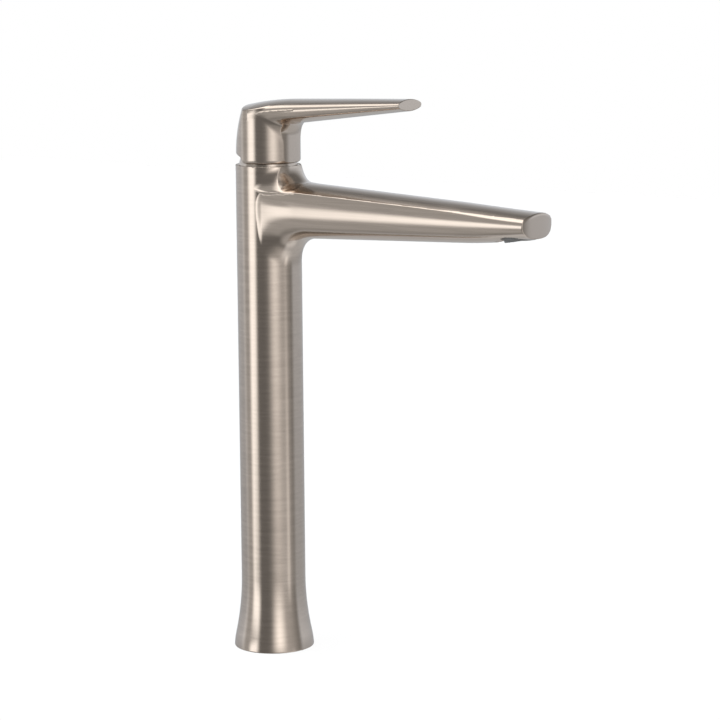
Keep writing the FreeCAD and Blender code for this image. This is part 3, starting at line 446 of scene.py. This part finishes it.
# The flat flank between the round and a crease: its turn where it starts and its swing from there, in
# degrees, and where it ends along X.
FLANK_TURN = 30.0
FLANK_SWING = 55.0
FLANK_END = 32.0


def flank(x, y, swing):
    """A flat flank, ahead of the line where it touches the column, after a share of its swing."""
    turn = np.radians(FLANK_TURN + FLANK_SWING * swing)
    cosine, sine = np.cos(turn), np.sin(turn)
    plane = cosine * x + sine * np.abs(y) - COLUMN_RADIUS
    return np.maximum(np.maximum(plane, cosine * np.abs(y) - sine * x), x - FLANK_END)


# The open corner between spout and lever: where its front face meets the axis, and the radius of that
# face's arch. The crease beside it is sharp at the column, and softer from the edge's start outwards.
FRONT_FACE = 19.4
FRONT_ARCH = 30.0
CREASE_EDGE = 0.08
EDGE_START = 19.0
EDGE_GROWTH = 6.0

# ---------------------------------------------------------------- the body

# The spout. Its top edge is the crease, which lies at a share of the half width.
SPOUT_REACH = 194.0
SPOUT_ROOT_WIDTH = 19.2
SPOUT_TIP_WIDTH = 16.5
SPOUT_TOP = 294.7
SPOUT_FALL = 0.0518
SPOUT_CREASE = 290.0
CREASE_FALL = 0.0435
CREASE_SHARE = 0.9
SPOUT_GIRTH = 277.4
SPOUT_LOW = 258.1
SPOUT_RISE = 0.04
BELLY_POWER = 2.35
TIP_START = 142.0
TIP_LIFT = 3.34
TIP_PLAN = 60.0
TIP_EDGE = 0.5

# The blend with the column: its reach below and beside the spout, where it grows and where it fades.
BLEND_BELOW = 18.5
BLEND_ASIDE = 16.5
BLEND_START = 1.0
BLEND_GROWTH = 8.0
BLEND_TOP = 3.0
BLEND_FADE = 13.0

# The spout's flank, from the seam downwards. Below the crease it sinks into the spout's side.
SPOUT_FLANK_TOP = 304.0
SPOUT_FLANK_FALL = 16.0
SPOUT_FLANK_POWER = 0.6
SPOUT_FLANK_SINK = 1.6
SPOUT_FLANK_SINK_FALL = 6.0
SPOUT_FLANK_DEPTH = 9.0

# The corner in front of the column, and the edges of the spout's top.
FRONT_ROUND = 10.5
TOP_EDGE = 0.5
TIP_TOP_EDGE = 1.8
TIP_TOP_START = 135.0
TIP_TOP_GROWTH = 50.0

# The column's rim, with the pocket for the cartridge and its nut.
RIM_LAND = 19.4
RIM_INNER = 18.2
RIM_DEPTH = 1.5
RIM_EDGE = 0.3
POCKET_RADIUS = 12.9
POCKET_FLOOR = 272.0
NUT_RADIUS = 15.0
NUT_FLOOR = 297.0

# The outlet's bore, mouth and throat.
OUTLET_AT = 179.5
OUTLET_BORE = 10.85
OUTLET_LEDGE = 275.2
OUTLET_MOUTH = 13.0
MOUTH_TOP = 270.6
OUTLET_THROAT = 8.6
THROAT_TOP = 280.0

# Below this level the column stands alone.
SPLIT = 238.0


def spout_half(x):
    """The spout's half width."""
    return SPOUT_ROOT_WIDTH + (SPOUT_TIP_WIDTH - SPOUT_ROOT_WIDTH) * x / SPOUT_REACH


def spout_low(x):
    """The level of the spout's underside, which lifts towards the tip."""
    share = np.maximum(x - TIP_START, 0.0) / (SPOUT_REACH - TIP_START)
    return SPOUT_LOW + SPOUT_RISE * x + TIP_LIFT * share ** 2


def upper_field(x, y, z):
    """Column, spout and their blends, with the front corner, the pockets and the outlet cut out."""
    out = np.hypot(x, y)
    column = out - column_radius(z)
    ahead = np.maximum(x, 0.0)
    crease = SPOUT_CREASE - CREASE_FALL * ahead
    rise = (crease - SPOUT_GIRTH) / math.sqrt(1.0 - CREASE_SHARE ** 2)
    half = spout_half(ahead)
    spout, sideways = limb(y, z, half, SPOUT_GIRTH, rise, SPOUT_GIRTH - spout_low(ahead), BELLY_POWER)
    top = SPOUT_TOP - SPOUT_FALL * x
    arch = (top - crease) * (y / (CREASE_SHARE * half)) ** 2
    spout = np.maximum(np.maximum(spout, z - top + arch), -x)
    tip = np.hypot(np.maximum(x - SPOUT_REACH + TIP_PLAN, 0.0), y) - TIP_PLAN
    spout = round_max(spout, tip, TIP_EDGE)
    side = flank(x, y, np.clip((SPOUT_FLANK_TOP - z) / SPOUT_FLANK_FALL, 0.0, 1.0) ** SPOUT_FLANK_POWER)
    side = side + SPOUT_FLANK_SINK * ease((crease - z) / SPOUT_FLANK_SINK_FALL)
    side = np.maximum(side, crease - SPOUT_FLANK_DEPTH - z)
    facing = sideways * np.abs(y) / np.maximum(out, 1.0)
    reach = (BLEND_BELOW + BLEND_ASIDE * sideways ** 2) * ease((x - BLEND_START) / BLEND_GROWTH)
    reach = reach * ease((crease + BLEND_TOP - z) / BLEND_FADE)
    form = np.minimum(join(column, spout, facing, reach), side)
    opening = hollow_corner(x - FRONT_FACE + y * y / (2 * FRONT_ARCH), z - top + arch, FRONT_ROUND)
    edge = CREASE_EDGE + TOP_EDGE * ease((x - EDGE_START) / EDGE_GROWTH)
    edge = edge + TIP_TOP_EDGE * ease((x - TIP_TOP_START) / TIP_TOP_GROWTH)
    form = round_max(form, opening, edge)
    rim = COLUMN_TOP - RIM_DEPTH * np.clip((RIM_LAND - out) / (RIM_LAND - RIM_INNER), 0.0, 1.0)
    form = round_max(form, z - rim, RIM_EDGE)
    form = without(form, np.maximum(out - COLUMN_BORE, z - BORE_TOP))
    form = without(form, np.maximum(out - POCKET_RADIUS, POCKET_FLOOR - z))
    form = without(form, np.maximum(out - NUT_RADIUS, NUT_FLOOR - z))
    ring = np.hypot(x - OUTLET_AT, y)
    form = without(form, np.maximum(ring - OUTLET_BORE, z - OUTLET_LEDGE))
    form = without(form, np.maximum(ring - OUTLET_MOUTH, z - MOUTH_TOP))
    return without(form, np.maximum(ring - OUTLET_THROAT, z - THROAT_TOP))


def body_field(x, y, z):
    """The whole body."""
    return np.where(z < SPLIT, column_field(x, y, z), upper_field(x, y, z))


# ---------------------------------------------------------------- the handle

# The hub and the crown line over hub and lever.
HUB_LOW = 304.4
SKIRT_ROUND = 2.3
SKIRT_EDGE = 0.3
HANDLE_TOP = 342.85
LEVER_SLOPE = 0.0325
HUB_ARC_START = 22.0
HUB_ARC = 190.0
CROWN_EDGE = 0.6

# The lever, at its root and at its tip.
LEVER_REACH = 105.0
LEVER_ROOT_WIDTH = 17.9
LEVER_TIP_WIDTH = 12.2
ROOT_SWELL = 2.0
ROOT_SWELL_END = 30.0
LEVER_CROWN = 3.4
LEVER_TIP_CROWN = 2.1
LEVER_GIRTH = 3.6
LEVER_TIP_GIRTH = 1.5
LEVER_ROOT_DEPTH = 16.9
LEVER_TIP_DEPTH = 7.3
LEVER_BELLY = 1.25
LEVER_BELLY_POWER = 2.0
LEVER_BLEND = 1.2
END_LEAN = 0.08
END_EDGE = 0.35

# The arched underside, and the corner between it and the hub.
UNDER_ARCH = 0.3
UNDER_ROUND = 7.0
UNDER_EDGE = 0.4

# The lever's flank, from the seam upwards. Away from the hub it sinks into the lever's side.
LEVER_FLANK_LOW = 316.0
LEVER_FLANK_RISE = 22.0
LEVER_FLANK_POWER = 1.3
LEVER_FLANK_DEPTH = 8.0
LEVER_FLANK_SINK = 0.1
LEVER_FLANK_SINK_START = 18.0

# The rear panel leans forward and flattens as it rises. Ahead of the axis it cuts nothing.
PANEL_LOW = 7.0
PANEL_TALL = 26.0
PANEL_AT = 1.8
PANEL_LEAN = 10.7
PANEL_RADIUS = 21.0
PANEL_SPREAD = 5.0
PANEL_EDGE = 0.5
FAR_INSIDE = -50.0

# The cut-out at the rear of the skirt. From the step, its top rises gently to the rear and falls steeply
# to the front.
STEP_AT = -7.5
STEP_TOP = 308.3
STEP_FALL = 1.3
STEP_LEAN = 0.272
STEP_FRONT = -4.5

# The room for the dome, the bore, the boss and rib round the stem's socket, and the set screw's hole.
DOME_ROOM = 18.5
PIVOT = 300.0
HUB_BORE = 12.5
HUB_BORE_TOP = 333.0
SOCKET_BOSS = 7.4
BOSS_LOW = 319.0
RIB_HALF = 4.5
SOCKET = 4.1
SOCKET_TOP = 329.1
SCREW_AXIS = 325.0
SCREW_HOLE = 2.55
PLUG_HOLE = 3.05
PLUG_END = -14.6
HOLE_EDGE = 0.15


def handle_field(x, y, z):
    """Hub and lever: flat flanks, a crowned top, a leaning rear panel and an arched underside."""
    out = np.hypot(x, y)
    share = np.clip(x / LEVER_REACH, 0.0, 1.0)
    crown = HANDLE_TOP + LEVER_SLOPE * x - np.maximum(HUB_ARC_START - x, 0.0) ** 2 / (2 * HUB_ARC)
    sag = LEVER_CROWN + (LEVER_TIP_CROWN - LEVER_CROWN) * share
    half = LEVER_ROOT_WIDTH + (LEVER_TIP_WIDTH - LEVER_ROOT_WIDTH) * share
    half = half + ROOT_SWELL * np.clip(1.0 - x / ROOT_SWELL_END, 0.0, 1.0) ** 2
    crease = crown - sag
    rise = LEVER_GIRTH + (LEVER_TIP_GIRTH - LEVER_GIRTH) * share
    girth = crease - rise
    depth = LEVER_ROOT_DEPTH + (LEVER_TIP_DEPTH - LEVER_ROOT_DEPTH) * share
    low = crown - depth
    lever = limb(y, z, half, girth, rise / math.sqrt(1.0 - CREASE_SHARE ** 2),
                 LEVER_BELLY * (girth - low), LEVER_BELLY_POWER)[0]
    lever = np.maximum(lever, -x)
    hub = round_max(out - COLUMN_RADIUS, HUB_LOW - z, SKIRT_ROUND)
    side = flank(x, y, np.clip((z - LEVER_FLANK_LOW) / LEVER_FLANK_RISE, 0.0, 1.0) ** LEVER_FLANK_POWER)
    side = side + LEVER_FLANK_SINK * np.maximum(x - LEVER_FLANK_SINK_START, 0.0)
    side = np.maximum(side, np.maximum(LEVER_FLANK_LOW - LEVER_FLANK_DEPTH - z, z - girth))
    form = join(np.minimum(hub, side), lever, 0.0, LEVER_BLEND)
    under = low + UNDER_ARCH * depth * (y / half) ** 2
    opening = hollow_corner(x - FRONT_FACE + y * y / (2 * FRONT_ARCH), under - z, UNDER_ROUND)
    form = round_max(form, opening, CREASE_EDGE + UNDER_EDGE * ease((x - EDGE_START) / EDGE_GROWTH))
    form = round_max(form, x - LEVER_REACH + END_LEAN * (z - crown + depth), END_EDGE)
    panel_rise = np.maximum(z - COLUMN_TOP - PANEL_LOW, 0.0) / PANEL_TALL
    panel = np.hypot(x - PANEL_AT - PANEL_LEAN * panel_rise ** 2, y)
    panel = panel - PANEL_RADIUS - PANEL_SPREAD * panel_rise ** 2
    form = round_max(form, np.where(x > 0.0, FAR_INSIDE, panel), PANEL_EDGE)
    form = round_max(form, z - crown + sag * (y / (CREASE_SHARE * half)) ** 2, CROWN_EDGE)
    form = round_max(form, HUB_LOW - z, SKIRT_EDGE)
    step = STEP_TOP - np.where(x > STEP_AT, STEP_FALL, STEP_LEAN) * (x - STEP_AT)
    form = without(form, np.maximum(z - step, x - STEP_FRONT))
    room = np.minimum(np.sqrt(x * x + y * y + (z - PIVOT) ** 2) - DOME_ROOM,
                      np.maximum(out - HUB_BORE, z - HUB_BORE_TOP))
    boss = np.maximum(out - SOCKET_BOSS, BOSS_LOW - z)
    rib = np.maximum(np.maximum(np.abs(y) - RIB_HALF, x), BOSS_LOW - z)
    form = without(form, np.maximum(np.maximum(room, -boss), -rib))
    square = np.maximum(np.maximum(np.abs(x), np.abs(y)) - SOCKET, z - SOCKET_TOP)
    form = without(form, square, HOLE_EDGE)
    ring = np.hypot(y, z - SCREW_AXIS)
    form = without(form, np.maximum(ring - SCREW_HOLE, x), HOLE_EDGE)
    return without(form, np.maximum(ring - PLUG_HOLE, x - PLUG_END), HOLE_EDGE)


# ---------------------------------------------------------------- form to mesh

# The gaps over which slopes are measured, how often the points are moved, and the least square of a slope
# and the least length that anything is divided by.
MOVE_GAP = 0.02
NORMAL_GAP = 0.05
MOVES = 4
LEAST_SQUARE = 0.05
LEAST_LENGTH = 1e-9
MILLIMETRE = 0.001


def slopes(field, points, gap):
    """The field's slope at each point."""
    columns = []
    for axis in range(3):
        shift = np.zeros(3)
        shift[axis] = gap
        high = field(*(points + shift).T)
        low = field(*(points - shift).T)
        columns.append((high - low) / (2 * gap))
    return np.stack(columns, 1)


def net(values, origin, step):
    """A quad mesh on the zero level of a grid of values: one point in each cell that the surface crosses."""
    inside = values < 0.0
    counts = np.array(values.shape)
    weights = np.array([counts[1] * counts[2], counts[2], 1])
    quads, places, owners = [], [], []
    for axis in range(3):
        first = np.moveaxis(inside, axis, 0)
        changed = np.moveaxis(first[:-1] != first[1:], 0, axis)
        index = np.stack(np.nonzero(changed), 1)
        other = [item for item in range(3) if item != axis]
        index = index[(index[:, other[0]] > 0) & (index[:, other[1]] > 0)]
        unit = np.zeros(3, int)
        unit[axis] = 1
        low = values[tuple(index.T)]
        high = values[tuple((index + unit).T)]
        place = index + unit * (low / (low - high))[:, None]
        one, two = np.zeros(3, int), np.zeros(3, int)
        one[other[0]], two[other[1]] = 1, 1
        cells = [cell @ weights for cell in (index - one - two, index - two, index, index - one)]
        codes = np.stack(cells, 1)
        flip = (low < 0.0) == (axis == 1)
        codes[flip] = codes[flip][:, ::-1]
        quads.append(codes)
        places += [place] * 4
        owners += cells
    quads, places, owners = np.concatenate(quads), np.concatenate(places), np.concatenate(owners)
    names, inverse = np.unique(owners, return_inverse=True)
    total = np.bincount(inverse)
    points = np.stack([np.bincount(inverse, places[:, axis]) / total for axis in range(3)], 1)
    return origin + points * step, np.searchsorted(names, quads)


def fill(values, field, origin, step, start, end):
    """Work out the field on one block of the grid, slice by slice."""
    y = (origin[1] + step * np.arange(start[1], end[1]))[:, None]
    z = (origin[2] + step * np.arange(start[2], end[2]))[None, :]
    shape = (end[1] - start[1], end[2] - start[2])
    for index in range(start[0], end[0]):
        x = np.full((1, 1), origin[0] + step * index)
        grid = [np.broadcast_to(part, shape) for part in (x, y, z)]
        values[index, start[1]:end[1], start[2]:end[2]] = field(*grid)


def form_mesh(name, field, low, high, step, blocks):
    """A smooth mesh of a form. Each block gives a field that is the form's own there, and its box."""
    origin = np.array(low, float)
    counts = np.ceil((np.array(high) - origin) / step).astype(int) + 1
    values = np.ones(counts, np.float32)
    for block_field, block_low, block_high in blocks:
        start = np.maximum(np.floor((np.array(block_low) - origin) / step).astype(int), 0)
        end = np.minimum(np.ceil((np.array(block_high) - origin) / step).astype(int) + 1, counts)
        fill(values, block_field, origin, step, start, end)
    points, quads = net(values, origin, step)
    for _ in range(MOVES):
        slope = slopes(field, points, MOVE_GAP)
        square = np.maximum((slope * slope).sum(1), LEAST_SQUARE)
        move = slope * (field(*points.T) / square)[:, None]
        length = np.maximum(np.linalg.norm(move, axis=1), LEAST_LENGTH)
        points = points - move * np.minimum(1.0, 0.5 * step / length)[:, None]
    normals = slopes(field, points, NORMAL_GAP)
    normals /= np.maximum(np.linalg.norm(normals, axis=1), LEAST_LENGTH)[:, None]
    mesh = bpy.data.meshes.new(name)
    mesh.vertices.add(len(points))
    mesh.vertices.foreach_set("co", (points * MILLIMETRE).astype(np.float32).ravel())
    mesh.loops.add(4 * len(quads))
    mesh.loops.foreach_set("vertex_index", quads.astype(np.int32).ravel())
    mesh.polygons.add(len(quads))
    mesh.polygons.foreach_set("loop_start", np.arange(0, 4 * len(quads), 4, dtype=np.int32))
    mesh.polygons.foreach_set("use_smooth", np.ones(len(quads), bool))
    mesh.update(calc_edges=True)
    mesh.validate()
    mesh.normals_split_custom_set_from_vertices(normals.astype(np.float32))
    return mesh


def casting(name, mesh, slot, body, node):
    """A casting that rides its body in place of its CAD node."""
    mesh.materials.append(materials[slot])
    item = bpy.data.objects.new(name, mesh)
    bpy.context.scene.collection.objects.link(item)
    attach(item, body)
    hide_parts(node)


# The castings' boxes, and the width of the grid's cells.
BODY_LOW = (-26.4, -26.4, -1.2)
BODY_HIGH = (196.0, 26.4, 305.0)
BODY_STEP = 0.6
HANDLE_LOW = (-21.0, -21.0, 303.0)
HANDLE_HIGH = (106.5, 21.0, 348.5)
HANDLE_STEP = 0.5

# Where the brushed lines turn from round to long, in metres along the spout and the lever.
BODY_BEND = (0.015, 0.035)
HANDLE_BEND = (0.008, 0.028)

bpy.context.scene.view_settings.view_transform = "Standard"
make_camera()
make_world()
make_floor()
materials = {
    "nickel_body": brushed("nickel_body", *BODY_BEND),
    "nickel_handle": brushed("nickel_handle", *HANDLE_BEND),
    "nickel_dome": brushed("nickel_dome", shade_in_gaps=True),
    "raw_brass": solid("raw_brass", (0.72, 0.54, 0.28), 0.32, metallic=1.0),
    "base_rubber": solid("base_rubber", (0.03, 0.03, 0.03), 0.7),
    "seal_rubber": solid("seal_rubber", (0.025, 0.025, 0.025), 0.6),
    "cartridge_plastic": solid("cartridge_plastic", (0.62, 0.63, 0.62), 0.45),
    "carrier_plastic": solid("carrier_plastic", (0.10, 0.14, 0.22), 0.4),
    "washer_plastic": solid("washer_plastic", (0.70, 0.68, 0.62), 0.4),
    "disc_ceramic": solid("disc_ceramic", (0.80, 0.79, 0.74), 0.25),
    "pin_steel": solid("pin_steel", (0.55, 0.55, 0.56), 0.25, metallic=1.0),
    "plug_plastic": solid("plug_plastic", (0.30, 0.28, 0.26), 0.4),
    "outlet_plastic": solid("outlet_plastic", (0.36, 0.36, 0.36), 0.38),
    "grid_plastic": solid("grid_plastic", (0.07, 0.075, 0.075), 0.42),
}
dress(materials)

body_mesh = form_mesh("body_casting", body_field, BODY_LOW, BODY_HIGH, BODY_STEP, (
    (column_field, BODY_LOW, (-BODY_LOW[0], -BODY_LOW[1], SPLIT)),
    (upper_field, (BODY_LOW[0], BODY_LOW[1], SPLIT), BODY_HIGH),
))
casting("body_casting", body_mesh, "nickel_body", "faucet_body", "body_shell")
handle_mesh = form_mesh("handle_casting", handle_field, HANDLE_LOW, HANDLE_HIGH, HANDLE_STEP, (
    (handle_field, HANDLE_LOW, HANDLE_HIGH),
))
casting("handle_casting", handle_mesh, "nickel_handle", "handle", "lever_handle")
